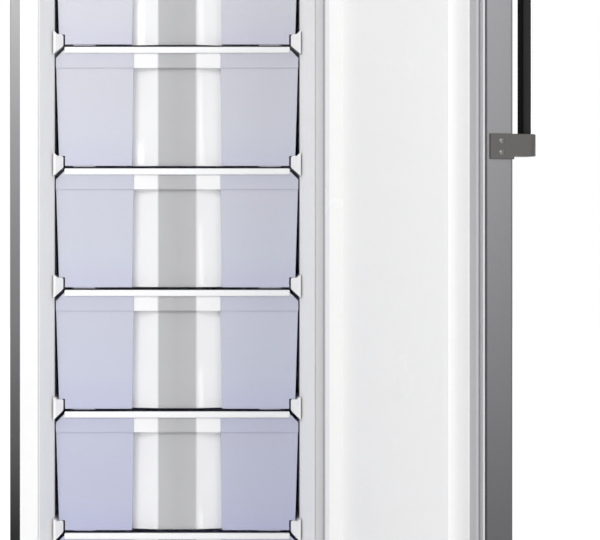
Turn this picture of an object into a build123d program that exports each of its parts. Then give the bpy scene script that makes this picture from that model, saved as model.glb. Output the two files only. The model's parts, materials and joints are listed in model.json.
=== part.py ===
"""An upright laboratory freezer with its door open.

A painted steel cabinet holds a moulded liner whose side walls carry a runner for each drawer.
Clear drawers with a recessed grip slide on the runners, a foamed door with gasket and bar handle
swings on two pins, and a compressor stands in an open bay low at the back.
The origin is on the floor under the cabinet's centre, the door faces -Y and Z points up.
"""

import os
from math import atan2, cos, degrees, radians, sin

from build123d import *

os.makedirs("parts", exist_ok=True)

# Cabinet sizes in millimetres
cabinet_width = 600.0
cabinet_depth = 560.0
floor_clearance = 24.0
side_wall = 76.0
rear_wall = 75.0
top_wall = 63.0
steel_sheet = 1.0
front_lip = 18.0
rear_lip = 15.0
cover_height = 18.0

# Liner sizes
liner_sheet = 2.0
liner_flange = 32.0
flange_thickness = 5.0
groove_width = 3.0
groove_depth = 3.0
flare_depth = 56.0
interior_floor = 150.0
liner_corner = 12.0

# Drawer sizes
drawer_count = 7
drawer_pitch = 222.0
drawer_height = 211.0
drawer_length = 400.0
short_drawer_length = 250.0
drawer_setback = 58.0
drawer_wall = 2.0
drawer_side_gap = 2.5
drawer_floor_gap = 8.0
drawer_ceiling_gap = 12.0
side_draft = 5.5
runner_width = 11.0
runner_height = 18.0
rim_chamfer = 14.0
band_height = 32.0
band_thickness = 2.0
grip_width_top = 158.0
grip_width_bottom = 165.0
grip_depth = 22.0
grip_flat_width = 70.0
grip_flat_depth = 9.0

# Door sizes
door_thickness = 44.0
door_gap = 12.0
door_bottom = 58.0
door_open_angle = 109.0
hinge_edge_distance = 15.0
hinge_inner_distance = 15.0
dyke_height = 30.0
dyke_face = 20.0
dyke_slope = 9.0
dyke_gap = 4.0
recess_level = 8.0
gasket_width = 25.0
gasket_inset = 11.3
gasket_height = 11.5
cap_height = 6.0

# Handle sizes
handle_height = 1052.0
handle_length = 360.0
handle_inset = 24.0
handle_reach = 32.0
handle_bar_width = 22.0
handle_bar_depth = 17.0
bracket_plate_height = 38.0
bracket_plate_width = 40.0

# Machine bay sizes
bay_height = 300.0
bay_depth = 165.0
bay_wall = 56.0
compressor_radius = 70.0
compressor_height = 165.0

# Clearances and small stock sizes
sliding_gap = 0.2
running_gap = 0.05
hinge_pin_radius = 4.5
bush_wall = 2.0

# Levels and planes worked out from the sizes above
half_width = cabinet_width / 2
front_y = -cabinet_depth / 2
back_y = cabinet_depth / 2
wall_x = half_width - side_wall
flange_x = half_width - front_lip
groove_x = flange_x - liner_flange
mouth_x = groove_x - groove_width
flare_reach = mouth_x - wall_x
first_drawer_z = interior_floor + drawer_floor_gap
drawer_levels = [first_drawer_z + drawer_pitch * index for index in range(drawer_count)]
ceiling_z = drawer_levels[-1] + drawer_height + drawer_ceiling_gap
mouth_low_z = interior_floor - flare_reach
mouth_high_z = ceiling_z + flare_reach
flange_low_z = mouth_low_z - groove_width - liner_flange
flange_high_z = mouth_high_z + groove_width + liner_flange
shell_top_z = flange_high_z + top_wall
interior_back_y = back_y - rear_wall
bay_front_y = back_y - bay_depth
step_front_y = bay_front_y - bay_wall
step_top_z = bay_height + bay_wall
drawer_front_y = front_y + drawer_setback

frame_height = 56.0
frame_stock = 2.0
frame_flange = 30.0
frame_top_z = floor_clearance + frame_height
frame_x = half_width - steel_sheet

door_inner_y = front_y - door_gap
door_outer_y = door_inner_y - door_thickness
door_top = flange_high_z + 5.0
hinge_x = half_width - hinge_edge_distance
hinge_y = door_inner_y - hinge_inner_distance


def across(y):
    """The upright plane at depth y, seen from the front."""
    return Plane.XZ.offset(-y)


def turned(x, y, angle):
    """A plan point turned about the hinge axis."""
    dx = x - hinge_x
    dy = y - hinge_y
    turn = radians(angle)
    return (hinge_x + dx * cos(turn) - dy * sin(turn), hinge_y + dx * sin(turn) + dy * cos(turn))


def leaf_level(z):
    """The level plane that carries the closed door's plan coordinates to the open door."""
    origin_x, origin_y = turned(0.0, 0.0, door_open_angle)
    turn = radians(door_open_angle)
    return Plane(origin=(origin_x, origin_y, z), x_dir=(cos(turn), sin(turn), 0), z_dir=(0, 0, 1))


def leaf_across(y):
    """The upright plane at the closed door's depth y, carried to the open door."""
    origin_x, origin_y = turned(0.0, y, door_open_angle)
    turn = radians(door_open_angle)
    return Plane(
        origin=(origin_x, origin_y, 0), x_dir=(cos(turn), sin(turn), 0), z_dir=(sin(turn), -cos(turn), 0)
    )


def frame_outline(plane, half, low, high, radius=0.0):
    """A rectangle on an upright plane, half wide each way and from low to high."""
    with BuildSketch(plane) as outline:
        with Locations((0, (low + high) / 2)):
            if radius > 0:
                RectangleRounded(2 * half, high - low, radius)
            else:
                Rectangle(2 * half, high - low)
    return outline.sketch


def plan_outline(plane, points):
    """A closed outline through the given points."""
    with BuildSketch(plane) as outline:
        with BuildLine():
            Polyline(*points, close=True)
        make_face()
    return outline.sketch


def save(piece, label):
    """Label a finished piece and write it out."""
    piece.label = label
    export_step(piece, f"parts/{label}.step")


# Outer side panels: one folded steel sheet each, with a front lip and a rear lip
with BuildPart() as side_panel:
    with BuildSketch(Plane.XY.offset(floor_clearance)):
        with BuildLine():
            Polyline(
                (flange_x, front_y),
                (half_width, front_y),
                (half_width, back_y),
                (half_width - rear_lip, back_y),
                (half_width - rear_lip, back_y - steel_sheet),
                (half_width - steel_sheet, back_y - steel_sheet),
                (half_width - steel_sheet, front_y + steel_sheet),
                (flange_x, front_y + steel_sheet),
                close=True,
            )
        make_face()
    extrude(amount=shell_top_z - floor_clearance)
    fillet(side_panel.edges().filter_by(Axis.Z).group_by(Axis.X)[-1].sort_by(Axis.Y)[0], 2.5)
save(side_panel.part, "side_panel_right")
save(mirror(side_panel.part, about=Plane.YZ), "side_panel_left")

# Top sheet with its folded front rail behind the control fascia
with BuildPart() as top_panel:
    with BuildSketch(Plane.XY.offset(shell_top_z - steel_sheet)):
        with Locations((0, -steel_sheet)):
            Rectangle(2 * frame_x, cabinet_depth - 4 * steel_sheet)
    extrude(amount=steel_sheet)
    with BuildSketch(across(front_y)):
        with Locations((0, (flange_high_z + shell_top_z) / 2)):
            Rectangle(2 * flange_x, shell_top_z - flange_high_z)
    extrude(amount=-2 * steel_sheet)
save(top_panel.part, "top_panel")

# Rear sheet with three upright stiffening beads, from the machine bay to the top
rear_sheet_y = back_y - 2 * steel_sheet
bead_width = 14.0
bead_height = 3.0
bead_pitch = 170.0
with BuildPart() as rear_panel:
    add(extrude(frame_outline(across(rear_sheet_y), frame_x, bay_height, shell_top_z - steel_sheet), -steel_sheet))
    bead_length = shell_top_z - bay_height - 120
    with BuildSketch(across(rear_sheet_y + steel_sheet)):
        with Locations((0, (bay_height + shell_top_z) / 2)):
            with GridLocations(bead_pitch, 1, 3, 1):
                SlotOverall(bead_length, bead_width, rotation=90)
    extrude(amount=-bead_height, taper=30)
save(rear_panel.part, "rear_panel")

# Folded base sheet: front rail with an air opening, underside of the foamed body, roof of the bay
hinge_plate_left_x = hinge_x - 49.0
grille_left_x = -half_width + 8.0
grille_right_x = hinge_plate_left_x - 6.0
grille_low_z = floor_clearance + 3.0
grille_high_z = door_bottom - 3.0
grille_middle_x = (grille_left_x + grille_right_x) / 2
grille_middle_z = (grille_low_z + grille_high_z) / 2
grille_border = 5.0
with BuildPart() as base_pan:
    with BuildSketch(Plane.YZ):
        with BuildLine():
            Polyline(
                (front_y + steel_sheet, frame_top_z),
                (bay_front_y, frame_top_z),
                (bay_front_y, bay_height - steel_sheet),
                (rear_sheet_y, bay_height - steel_sheet),
                (rear_sheet_y, bay_height),
                (bay_front_y - steel_sheet, bay_height),
                (bay_front_y - steel_sheet, frame_top_z + steel_sheet),
                (front_y + steel_sheet, frame_top_z + steel_sheet),
                close=True,
            )
        make_face()
    extrude(amount=frame_x, both=True)
    rail_low_z = floor_clearance + frame_stock
    add(extrude(frame_outline(across(front_y), flange_x, rail_low_z, flange_low_z), -steel_sheet))
    with BuildSketch(across(front_y)):
        with Locations((grille_middle_x, grille_middle_z)):
            Rectangle(
                grille_right_x - grille_left_x - 8 * grille_border,
                grille_high_z - grille_low_z - 2 * grille_border,
            )
    extrude(amount=-steel_sheet, mode=Mode.SUBTRACT)
save(base_pan.part, "base_pan")

# Drawer runners: a ledge with a sloping underside on each side wall
runner_reach = 16.0
runner_front_y = drawer_front_y - 18.0
drawer_step_x = wall_x - drawer_side_gap - side_draft
drawer_foot_x = drawer_step_x - runner_width
runner_tip_x = wall_x - runner_reach
runner_top = runner_height - sliding_gap
root_x = wall_x + liner_sheet / 2


def runner_pair(level, end_y, root_drop):
    """The two runners of a drawer whose underside is at this level."""
    with BuildPart() as pair:
        with BuildSketch(across(runner_front_y)):
            with BuildLine():
                Polyline(
                    (root_x, level + runner_top + 6),
                    (drawer_step_x + 2, level + runner_top),
                    (runner_tip_x + 2.5, level + runner_top),
                    (runner_tip_x, level + runner_top - 2.5),
                    (runner_tip_x, level - 2),
                    (runner_tip_x + 2, level - 5),
                    (root_x, level - root_drop),
                    close=True,
                )
            make_face()
        extrude(amount=runner_front_y - end_y)
        with BuildSketch(Plane.XY.offset(level - 2 * runner_height)):
            with BuildLine():
                Polyline(
                    (root_x, runner_front_y),
                    (wall_x - 3, runner_front_y),
                    (runner_tip_x, runner_front_y + runner_reach),
                    (runner_tip_x, end_y),
                    (root_x, end_y),
                    close=True,
                )
            make_face()
        extrude(amount=4 * runner_height, mode=Mode.INTERSECT)
        mirror(about=Plane.YZ)
    return pair.part


def liner_form(grow):
    """The interior with its flared mouth and rear step, grown outward by a sheet."""
    flare_end_y = front_y + flare_depth
    with BuildPart() as form:
        mouth = frame_outline(across(front_y), mouth_x + grow, mouth_low_z - grow, mouth_high_z + grow)
        throat = frame_outline(
            across(flare_end_y), wall_x + grow, interior_floor - grow, ceiling_z + grow
        )
        loft([mouth.face(), throat.face()], ruled=True)
        cavity = plan_outline(
            Plane.YZ,
            [
                (flare_end_y, interior_floor - grow),
                (step_front_y + grow, interior_floor - grow),
                (step_front_y + grow, step_top_z - grow),
                (interior_back_y + grow, step_top_z - grow),
                (interior_back_y + grow, ceiling_z + grow),
                (flare_end_y, ceiling_z + grow),
            ],
        )
        extrude(cavity, amount=wall_x + grow, both=True)
    return form.part


# Liner: a formed white shell with front flange, flared mouth, runners and the step over the bay
with BuildPart() as inner_liner:
    add(extrude(frame_outline(across(front_y), flange_x, flange_low_z, flange_high_z), -flange_thickness))
    add(liner_form(liner_sheet))
    add(liner_form(0.0), mode=Mode.SUBTRACT)
    groove_low_z = mouth_low_z - groove_width
    groove_high_z = mouth_high_z + groove_width
    groove_ring = frame_outline(across(front_y), groove_x, groove_low_z, groove_high_z)
    groove_ring -= frame_outline(across(front_y), mouth_x + liner_sheet / 2, mouth_low_z - 1, mouth_high_z + 1)
    extrude(groove_ring, amount=-groove_depth, mode=Mode.SUBTRACT)
    for level in drawer_levels:
        lowest = level == first_drawer_z
        end_y = step_front_y if lowest else interior_back_y
        root_drop = drawer_floor_gap if lowest else runner_height + 1
        add(runner_pair(level, end_y, root_drop))
save(inner_liner.part, "inner_liner")

# Foam between the liner and the outer sheets
with BuildPart() as cabinet_insulation:
    foam_front_y = front_y + flange_thickness
    with BuildSketch(Plane.YZ):
        with BuildLine():
            Polyline(
                (foam_front_y, frame_top_z + steel_sheet),
                (bay_front_y - steel_sheet, frame_top_z + steel_sheet),
                (bay_front_y - steel_sheet, bay_height),
                (rear_sheet_y, bay_height),
                (rear_sheet_y, shell_top_z - steel_sheet),
                (foam_front_y, shell_top_z - steel_sheet),
                close=True,
            )
        make_face()
    extrude(amount=frame_x, both=True)
    add(liner_form(liner_sheet), mode=Mode.SUBTRACT)
save(cabinet_insulation.part, "cabinet_insulation")

# Base frame: two side channels, a front cross channel and the ears for the rear rollers
foot_x = half_width - 32.0
foot_y = front_y + 30.0
foot_stud_radius = 4.0
roller_radius = 11.5
roller_width = 14.0
roller_y = back_y - 32.0
axle_radius = 3.0
ear_thickness = 3.0
ear_gap = 0.5
roller_x = half_width - 24.0
ear_inner_x = roller_x - roller_width / 2 - ear_gap - ear_thickness
ear_outer_x = roller_x + roller_width / 2 + ear_gap
frame_front_y = front_y + 6.0
frame_back_y = back_y - 6.0
with BuildPart() as base_frame:
    with BuildSketch(across(frame_front_y)):
        with BuildLine():
            Polyline(
                (frame_x, floor_clearance),
                (frame_x, frame_top_z),
                (frame_x - frame_flange, frame_top_z),
                (frame_x - frame_flange, frame_top_z - frame_stock),
                (frame_x - frame_stock, frame_top_z - frame_stock),
                (frame_x - frame_stock, floor_clearance + frame_stock),
                (frame_x - frame_flange - 16, floor_clearance + frame_stock),
                (frame_x - frame_flange - 16, floor_clearance),
                close=True,
            )
        make_face()
    extrude(amount=frame_front_y - frame_back_y)
    with Locations((foot_x, foot_y, floor_clearance)):
        Cylinder(
            foot_stud_radius + running_gap,
            4 * frame_stock,
            mode=Mode.SUBTRACT,
        )
    with BuildSketch(Plane.YZ.offset(ear_inner_x)):
        with BuildLine():
            Line((roller_y - 12, floor_clearance), (roller_y - 6, roller_radius))
            ThreePointArc((roller_y - 6, roller_radius), (roller_y, roller_radius - 6), (roller_y + 6, roller_radius))
            Line((roller_y + 6, roller_radius), (roller_y + 12, floor_clearance))
            Line((roller_y + 12, floor_clearance), (roller_y - 12, floor_clearance))
        make_face()
        with Locations((roller_y, roller_radius)):
            Circle(axle_radius, mode=Mode.SUBTRACT)
    extrude(amount=ear_thickness)
    with BuildSketch(Plane.YZ.offset(ear_outer_x)):
        with BuildLine():
            Line((roller_y - 12, floor_clearance), (roller_y - 6, roller_radius))
            ThreePointArc((roller_y - 6, roller_radius), (roller_y, roller_radius - 6), (roller_y + 6, roller_radius))
            Line((roller_y + 6, roller_radius), (roller_y + 12, floor_clearance))
            Line((roller_y + 12, floor_clearance), (roller_y - 12, floor_clearance))
        make_face()
        with Locations((roller_y, roller_radius)):
            Circle(axle_radius, mode=Mode.SUBTRACT)
    extrude(amount=ear_thickness)
    mirror(about=Plane.YZ)
    cross_x = frame_x - frame_stock
    with BuildSketch(Plane.YZ):
        with BuildLine():
            Polyline(
                (frame_front_y, floor_clearance + frame_stock),
                (frame_front_y, frame_top_z - frame_stock),
                (frame_front_y + frame_flange, frame_top_z - frame_stock),
                (frame_front_y + frame_flange, frame_top_z - 2 * frame_stock),
                (frame_front_y + frame_stock, frame_top_z - 2 * frame_stock),
                (frame_front_y + frame_stock, floor_clearance + frame_stock),
                close=True,
            )
        make_face()
    extrude(amount=cross_x, both=True)
save(base_frame.part, "base_frame")

# Front levelling feet: a threaded stud, a hexagonal collar and a round pad
foot_pad_radius = 19.0
with BuildPart() as levelling_foot:
    with BuildSketch(Plane.XZ):
        with BuildLine():
            Polyline(
                (0, 0),
                (foot_pad_radius, 0),
                (foot_pad_radius, 5),
                (foot_pad_radius - 3, 8),
                (9, 10),
                (9, 12),
                (0, 12),
                close=True,
            )
        make_face()
    revolve(axis=Axis.Z)
    with BuildSketch(Plane.XY.offset(12)):
        RegularPolygon(9, 6)
    extrude(until=None, amount=floor_clearance - 12 - sliding_gap)
    with Locations((0, 0, floor_clearance - sliding_gap)):
        Cylinder(foot_stud_radius, 30, align=(Align.CENTER, Align.CENTER, Align.MIN))
for side, label in ((-1, "foot_left"), (1, "foot_right")):
    save(Pos(side * foot_x, foot_y, 0) * levelling_foot.part, label)

# Rear rollers on their axles
with BuildPart() as roller:
    with BuildSketch(Plane.YZ.offset(roller_x - roller_width / 2)):
        with Locations((roller_y, roller_radius)):
            Circle(roller_radius)
            Circle(axle_radius + running_gap, mode=Mode.SUBTRACT)
    extrude(amount=roller_width)
    fillet(roller.edges().filter_by(GeomType.CIRCLE).group_by(SortBy.RADIUS)[-1], 2)
save(roller.part, "roller_right")
save(mirror(roller.part, about=Plane.YZ), "roller_left")

with BuildPart() as roller_axles:
    with BuildSketch(Plane.YZ.offset(ear_inner_x)):
        with Locations((roller_y, roller_radius)):
            Circle(axle_radius)
    extrude(amount=ear_outer_x + ear_thickness - ear_inner_x)
    mirror(about=Plane.YZ)
save(roller_axles.part, "roller_axles")

# Plinth grille under the door, seated on the front rail
grille_thickness = 4.0
slot_count = 18
slot_pitch = 26.0
with BuildPart() as plinth_grille:
    with BuildSketch(across(front_y - grille_thickness)):
        with Locations((grille_middle_x, grille_middle_z)):
            RectangleRounded(grille_right_x - grille_left_x, grille_high_z - grille_low_z, 4)
            with GridLocations(slot_pitch, 1, slot_count, 1):
                SlotOverall(20, 5, rotation=90, mode=Mode.SUBTRACT)
    extrude(amount=-grille_thickness)
save(plinth_grille.part, "plinth_grille")

# Compressor plate: a tray across the bay, resting on the side channels' lower flanges
bay_middle_y = bay_front_y + bay_depth / 2
plate_x = frame_x - frame_flange + 10.0
plate_z = floor_clearance + frame_stock
plate_depth = bay_depth - 24.0
with BuildPart() as compressor_plate:
    with BuildSketch(Plane.YZ):
        with BuildLine():
            Polyline(
                (bay_middle_y - plate_depth / 2, plate_z),
                (bay_middle_y + plate_depth / 2, plate_z),
                (bay_middle_y + plate_depth / 2, plate_z + 14),
                (bay_middle_y + plate_depth / 2 - frame_stock, plate_z + 14),
                (bay_middle_y + plate_depth / 2 - frame_stock, plate_z + frame_stock),
                (bay_middle_y - plate_depth / 2 + frame_stock, plate_z + frame_stock),
                (bay_middle_y - plate_depth / 2 + frame_stock, plate_z + 14),
                (bay_middle_y - plate_depth / 2, plate_z + 14),
                close=True,
            )
        make_face()
    extrude(amount=plate_x, both=True)
save(compressor_plate.part, "compressor_plate")

# Compressor: a welded steel dome on a foot plate with four rubber grommets
compressor_x = 70.0
grommet_height = 14.0
grommet_radius = 10.0
compressor_plate_z = plate_z + frame_stock + grommet_height
foot_plate_stock = 3.0
foot_plate_half_x = compressor_radius + 26.0
foot_plate_half_y = compressor_radius - 14.0
dome_z = compressor_plate_z + foot_plate_stock
with BuildPart() as compressor:
    with BuildSketch(Plane.XY.offset(compressor_plate_z)):
        with Locations((compressor_x, bay_middle_y)):
            RectangleRounded(2 * foot_plate_half_x, 2 * foot_plate_half_y, 12)
    extrude(amount=foot_plate_stock)
    dome_plane = Plane(origin=(compressor_x, bay_middle_y, dome_z), x_dir=(1, 0, 0), z_dir=(0, -1, 0))
    seam_z = 0.5 * compressor_height
    seam_reach = 3.0
    dome_radius = 42.0
    with BuildSketch(dome_plane):
        with BuildLine():
            Line((0, 0), (compressor_radius - 22, 0))
            Line((compressor_radius - 22, 0), (compressor_radius - 4, 20))
            Line((compressor_radius - 4, 20), (compressor_radius, seam_z - 3))
            Line((compressor_radius, seam_z - 3), (compressor_radius + seam_reach, seam_z - 3))
            Line((compressor_radius + seam_reach, seam_z - 3), (compressor_radius + seam_reach, seam_z + 3))
            Line((compressor_radius + seam_reach, seam_z + 3), (compressor_radius, seam_z + 3))
            Line((compressor_radius, seam_z + 3), (compressor_radius - 2, compressor_height - dome_radius))
            JernArc(
                (compressor_radius - 2, compressor_height - dome_radius), (0, 1), dome_radius, 90
            )
            Line((compressor_radius - 2 - dome_radius, compressor_height), (0, compressor_height))
            Line((0, compressor_height), (0, 0))
        make_face()
    revolve(axis=Axis((compressor_x, bay_middle_y, 0), (0, 0, 1)))
save(compressor.part, "compressor")

with BuildPart() as compressor_mounts:
    with BuildSketch(Plane.XY.offset(plate_z + frame_stock)):
        with Locations((compressor_x, bay_middle_y)):
            with GridLocations(2 * foot_plate_half_x - 26, 2 * foot_plate_half_y - 26, 2, 2):
                Circle(grommet_radius)
    extrude(amount=grommet_height)
    waist = compressor_mounts.edges().filter_by(GeomType.CIRCLE)
    chamfer(waist, 1.5)
save(compressor_mounts.part, "compressor_mounts")

# Starter box clipped against the compressor's side
starter_width = 46.0
with BuildPart() as starter_box:
    starter_x = compressor_x - compressor_radius - starter_width / 2
    with BuildSketch(Plane.XY.offset(dome_z + 4)):
        with Locations((starter_x, bay_middle_y)):
            RectangleRounded(starter_width + 20, 62, 5)
    extrude(amount=seam_z - 10)
    with Locations((compressor_x, bay_middle_y, dome_z)):
        Cylinder(
            compressor_radius + sliding_gap,
            compressor_height,
            align=(Align.CENTER, Align.CENTER, Align.MIN),
            mode=Mode.SUBTRACT,
        )
save(starter_box.part, "starter_box")

# Filter drier and the bent refrigerant pipes
pipe_radius = 3.0
drier_x = -95.0
drier_radius = 10.0
drier_low_z = 110.0
drier_length = 84.0
drier_neck = 12.0
with BuildPart() as filter_drier:
    drier_plane = Plane(origin=(drier_x, bay_middle_y, drier_low_z), x_dir=(1, 0, 0), z_dir=(0, -1, 0))
    with BuildSketch(drier_plane):
        with BuildLine():
            Polyline(
                (0, 0),
                (pipe_radius + 1, 0),
                (drier_radius, drier_neck),
                (drier_radius, drier_length - drier_neck),
                (pipe_radius + 1, drier_length),
                (0, drier_length),
                close=True,
            )
        make_face()
    revolve(axis=Axis((drier_x, bay_middle_y, 0), (0, 0, 1)))
save(filter_drier.part, "filter_drier")

with BuildPart() as refrigerant_pipes:
    pipe_z = dome_z + seam_z + 30
    roof_z = bay_height - steel_sheet
    left_side_x = compressor_x - compressor_radius + 2
    right_side_x = compressor_x + compressor_radius - 2
    routes = (
        (
            (left_side_x, bay_middle_y, pipe_z),
            (left_side_x - 60, bay_middle_y, pipe_z),
            (left_side_x - 60, bay_middle_y, roof_z),
        ),
        (
            (drier_x, bay_middle_y, drier_low_z),
            (drier_x, bay_middle_y, drier_low_z - 42),
            (drier_x - 90, bay_middle_y, drier_low_z - 42),
            (drier_x - 90, bay_middle_y, roof_z),
        ),
        (
            (drier_x, bay_middle_y, drier_low_z + drier_length),
            (drier_x, bay_middle_y, roof_z),
        ),
        (
            (right_side_x, bay_middle_y, pipe_z),
            (right_side_x + 50, bay_middle_y, pipe_z),
            (right_side_x + 50, bay_middle_y, roof_z),
        ),
    )
    for route in routes:
        with BuildLine() as centreline:
            if len(route) == 2:
                Line(*route)
            else:
                FilletPolyline(*route, radius=22)
        with BuildSketch(Plane(origin=route[0], z_dir=centreline.line % 0)):
            Circle(pipe_radius)
        sweep(path=centreline.line)
    add(compressor.part, mode=Mode.SUBTRACT)
save(refrigerant_pipes.part, "refrigerant_pipes")

# Power inlet: a flanged socket on the compressor plate's rear flange side
inlet_x = 225.0
inlet_width = 50.0
inlet_height = 32.0
inlet_depth = 34.0
inlet_back_y = bay_middle_y + plate_depth / 2 - frame_stock
inlet_z = plate_z + frame_stock
with BuildPart() as power_inlet:
    with BuildSketch(Plane.XY.offset(inlet_z)):
        with Locations((inlet_x, inlet_back_y - inlet_depth / 2)):
            RectangleRounded(inlet_width, inlet_depth, 3)
    extrude(amount=inlet_height + 14)
    with BuildSketch(across(inlet_back_y)):
        with Locations((inlet_x, inlet_z + 14 + inlet_height / 2)):
            SlotOverall(27, 20, mode=Mode.ADD)
    extrude(amount=16, mode=Mode.SUBTRACT)
    with BuildSketch(across(inlet_back_y - 16)):
        with Locations((inlet_x, inlet_z + 14 + inlet_height / 2)):
            RectangleRounded(17, 11, 2)
    extrude(amount=-14)
save(power_inlet.part, "power_inlet")

# Top cover: a shallow moulded lid with two ribs that reaches forward over the fascia
cover_wall = 3.0
with BuildPart() as top_cover:
    with BuildSketch(Plane.XY.offset(shell_top_z)):
        with Locations((0, (door_outer_y + back_y) / 2)):
            RectangleRounded(cabinet_width, back_y - door_outer_y, 8)
    extrude(amount=cover_height)
    fillet(top_cover.faces().sort_by(Axis.Z)[-1].edges(), 4)
    with BuildSketch(Plane.XY.offset(shell_top_z)):
        with Locations((0, (door_outer_y + back_y) / 2)):
            RectangleRounded(cabinet_width - 2 * cover_wall, back_y - door_outer_y - 2 * cover_wall, 6)
            with GridLocations(cabinet_width / 3, 1, 2, 1):
                Rectangle(cover_wall, back_y - door_outer_y, mode=Mode.SUBTRACT)
    extrude(amount=cover_height - cover_wall, mode=Mode.SUBTRACT)
save(top_cover.part, "top_cover")

# Control fascia above the door, open at the back, with seats for the window and buttons
fascia_wall = 3.0
fascia_low_z = door_top + 10.0
fascia_centre_z = (fascia_low_z + shell_top_z) / 2
window_x = -120.0
window_width = 112.0
window_height = 26.0
button_radius = 6.0
button_pitch = 30.0
button_start_x = window_x + window_width / 2 + 34.0
button_xs = [button_start_x + button_pitch * index for index in range(3)]
button_gap = 0.3
hinge_plate_stock = 5.0
hinge_flange_stock = 4.0
hinge_flange_height = 28.0
hinge_plate_right_x = half_width - fascia_wall - 1.0
with BuildPart() as control_fascia:
    inner_depth = front_y - door_outer_y - fascia_wall
    with BuildSketch(Plane.XY.offset(fascia_low_z)):
        with Locations((0, (door_outer_y + front_y) / 2)):
            Rectangle(cabinet_width, front_y - door_outer_y)
    extrude(amount=shell_top_z - fascia_low_z)
    fillet(control_fascia.edges().filter_by(Axis.Z).group_by(Axis.Y)[0], 8)
    with BuildSketch(Plane.XY.offset(fascia_low_z + fascia_wall)):
        with Locations((0, front_y - inner_depth / 2)):
            Rectangle(cabinet_width - 2 * fascia_wall, inner_depth)
    extrude(amount=shell_top_z - fascia_low_z, mode=Mode.SUBTRACT)
    with BuildSketch(across(door_outer_y)):
        with Locations((window_x, fascia_centre_z)):
            RectangleRounded(window_width, window_height, 4)
        with Locations(*[(button_x, fascia_centre_z) for button_x in button_xs]):
            Circle(button_radius + button_gap)
    extrude(amount=-fascia_wall, mode=Mode.SUBTRACT)
    with BuildSketch(Plane.XY.offset(fascia_low_z)):
        with Locations(((hinge_plate_left_x + half_width) / 2, front_y - hinge_flange_stock / 2)):
            Rectangle(half_width - hinge_plate_left_x, hinge_flange_stock)
    extrude(amount=fascia_wall, mode=Mode.SUBTRACT)
save(control_fascia.part, "control_fascia")

with BuildPart() as display_window:
    with BuildSketch(across(door_outer_y)):
        with Locations((window_x, fascia_centre_z)):
            RectangleRounded(window_width, window_height, 4)
    extrude(amount=-fascia_wall)
save(display_window.part, "display_window")

# Push buttons with a keeper flange behind the fascia's wall
button_labels = ("power_button", "alarm_button", "fast_freeze_button")
for button_x, label in zip(button_xs, button_labels):
    with BuildPart() as button:
        with BuildSketch(across(door_outer_y - 1.5)):
            with Locations((button_x, fascia_centre_z)):
                Circle(button_radius)
        extrude(amount=-fascia_wall - 1.5)
        chamfer(button.faces().sort_by(Axis.Y)[0].edges(), 0.8)
        with BuildSketch(across(door_outer_y + fascia_wall)):
            with Locations((button_x, fascia_centre_z)):
                Circle(button_radius + 2)
        extrude(amount=-2)
    save(button.part, label)

# Hinge brackets: a folded plate on the cabinet's front and a plate under or over the door's end
hinge_shoulder = 4.0
bush_flange = 3.0
bush_length = 22.0
hinge_plate_radius = hinge_plate_right_x - hinge_x


def hinge_bracket(plate_low_z, flange_low_z, flange_height):
    """A flat plate out to the hinge axis and an upright flange on the cabinet's front."""
    with BuildPart() as bracket:
        with BuildSketch(Plane.XY.offset(plate_low_z)):
            with BuildLine():
                Line((hinge_plate_left_x, front_y), (hinge_plate_right_x, front_y))
                Line((hinge_plate_right_x, front_y), (hinge_plate_right_x, hinge_y))
                ThreePointArc(
                    (hinge_plate_right_x, hinge_y),
                    (hinge_x, hinge_y - hinge_plate_radius),
                    (hinge_x - hinge_plate_radius, hinge_y),
                )
                Line((hinge_x - hinge_plate_radius, hinge_y), (hinge_plate_left_x, front_y - 8))
                Line((hinge_plate_left_x, front_y - 8), (hinge_plate_left_x, front_y))
            make_face()
            with Locations((hinge_x, hinge_y)):
                Circle(hinge_pin_radius, mode=Mode.SUBTRACT)
        extrude(amount=hinge_plate_stock)
        with BuildSketch(across(front_y - hinge_flange_stock)):
            with Locations(((hinge_plate_left_x + hinge_plate_right_x) / 2, flange_low_z + flange_height / 2)):
                Rectangle(hinge_plate_right_x - hinge_plate_left_x, flange_height)
                with GridLocations(30, 1, 2, 1):
                    Circle(3, mode=Mode.SUBTRACT)
        extrude(amount=-hinge_flange_stock)
    return bracket.part


def hinge_pin(shaft_low_z, shaft_high_z, shoulder_low_z, shoulder_high_z):
    """The door's pin, with a head that fills the plate's hole and a shoulder that meets the bush."""
    with BuildPart() as pin:
        with BuildSketch(Plane.XY.offset(shaft_low_z)):
            with Locations((hinge_x, hinge_y)):
                Circle(hinge_pin_radius)
        extrude(amount=shaft_high_z - shaft_low_z)
        with BuildSketch(Plane.XY.offset(shoulder_low_z)):
            with Locations((hinge_x, hinge_y)):
                Circle(2 * hinge_pin_radius)
        extrude(amount=shoulder_high_z - shoulder_low_z)
    return pin.part


def hinge_bush(flange_z, sleeve_low_z):
    """A plastic sleeve in the door's end cap with a flange outside it."""
    with BuildPart() as bush:
        with BuildSketch(Plane.XY.offset(sleeve_low_z)):
            with Locations((hinge_x, hinge_y)):
                Circle(hinge_pin_radius + running_gap + bush_wall)
        extrude(amount=bush_length)
        with BuildSketch(Plane.XY.offset(flange_z)):
            with Locations((hinge_x, hinge_y)):
                Circle(2 * hinge_pin_radius + 1)
        extrude(amount=bush_flange)
        with Locations((hinge_x, hinge_y, flange_z)):
            Cylinder(hinge_pin_radius + running_gap, 4 * bush_length, mode=Mode.SUBTRACT)
    return bush.part


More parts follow.
